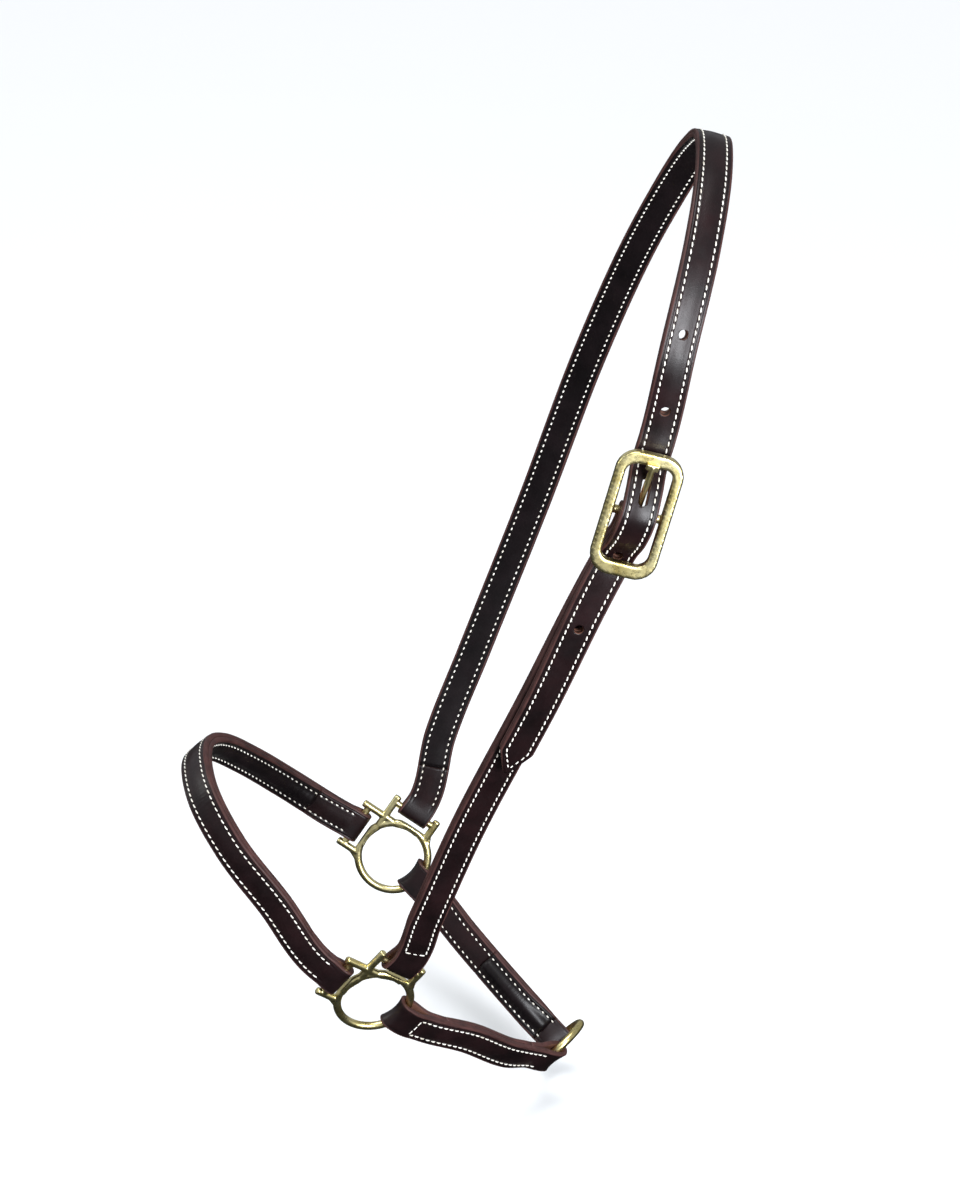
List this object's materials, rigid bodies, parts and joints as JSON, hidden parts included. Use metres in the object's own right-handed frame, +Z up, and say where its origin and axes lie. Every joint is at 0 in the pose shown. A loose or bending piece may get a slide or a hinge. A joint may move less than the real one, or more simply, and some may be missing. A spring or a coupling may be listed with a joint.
{
  "type": "leather headcollar",
  "caption": "Slim stitched leather headcollar for a horse: noseband, buckled crown strap, brass cheek rings and a round chin ring on two chin straps.",
  "frame": {"origin": "inner face of the crown strap, where it rests behind the ears", "axes": "+Z up the worn head, towards the poll; +X to the back of the head; +Y to the off side, so the buckle is towards -Y"},
  "size_m": [0.3008, 0.2463, 0.6049],
  "materials": {
    "leather_face": "very dark brown bridle leather, waxed, satin",
    "leather_lining": "near black flesh side, matte to satin",
    "leather_core": "reddish brown raw filler",
    "thread": "white waxed linen thread",
    "brass": "cast brass, satin with polished high spots"
  },
  "bodies": {
    "root": {"near_cheek_ring": "brass", "far_cheek_ring": "brass", "noseband_outer": "leather_face", "noseband_filler": "leather_core", "noseband_lining": "leather_lining", "noseband_thread": "thread", "cheekpiece_outer": "leather_face", "cheekpiece_filler": "leather_core", "cheekpiece_lining": "leather_lining", "cheekpiece_thread": "thread", "crown_outer": "leather_face", "crown_filler": "leather_core", "crown_lining": "leather_lining", "crown_thread": "thread"},
    "buckle": {"buckle_frame": "brass"},
    "tongue": {"buckle_tongue": "brass"},
    "chin_straps": {"near_chin_outer": "leather_face", "near_chin_filler": "leather_core", "near_chin_lining": "leather_lining", "near_chin_thread": "thread", "far_chin_outer": "leather_face", "far_chin_filler": "leather_core", "far_chin_lining": "leather_lining", "far_chin_thread": "thread"},
    "lead_ring": {"chin_ring": "brass"}
  },
  "joints": [
    {"name": "buckle_rock", "type": "hinge", "parent": "root", "child": "buckle", "pos_m": [-0.03514, -0.11752, -0.15918], "axis": [0.961, 0.0592, -0.2703], "range_deg": [-3, 3]},
    {"name": "tongue_lift", "type": "hinge", "parent": "buckle", "child": "tongue", "pos_m": [-0.03514, -0.11752, -0.15918], "axis": [0.961, 0.0592, -0.2703], "range_deg": [0, 6]},
    {"name": "chin_swing", "type": "hinge", "parent": "root", "child": "chin_straps", "pos_m": [-0.178, 0, -0.497], "axis": [0, 1, 0], "range_deg": [-8, 8]},
    {"name": "chin_ring_spin", "type": "hinge", "parent": "chin_straps", "child": "lead_ring", "pos_m": [-0.0745, 0, -0.577], "axis": [0.6991, -0.2996, -0.6492], "continuous": true}
  ]
}
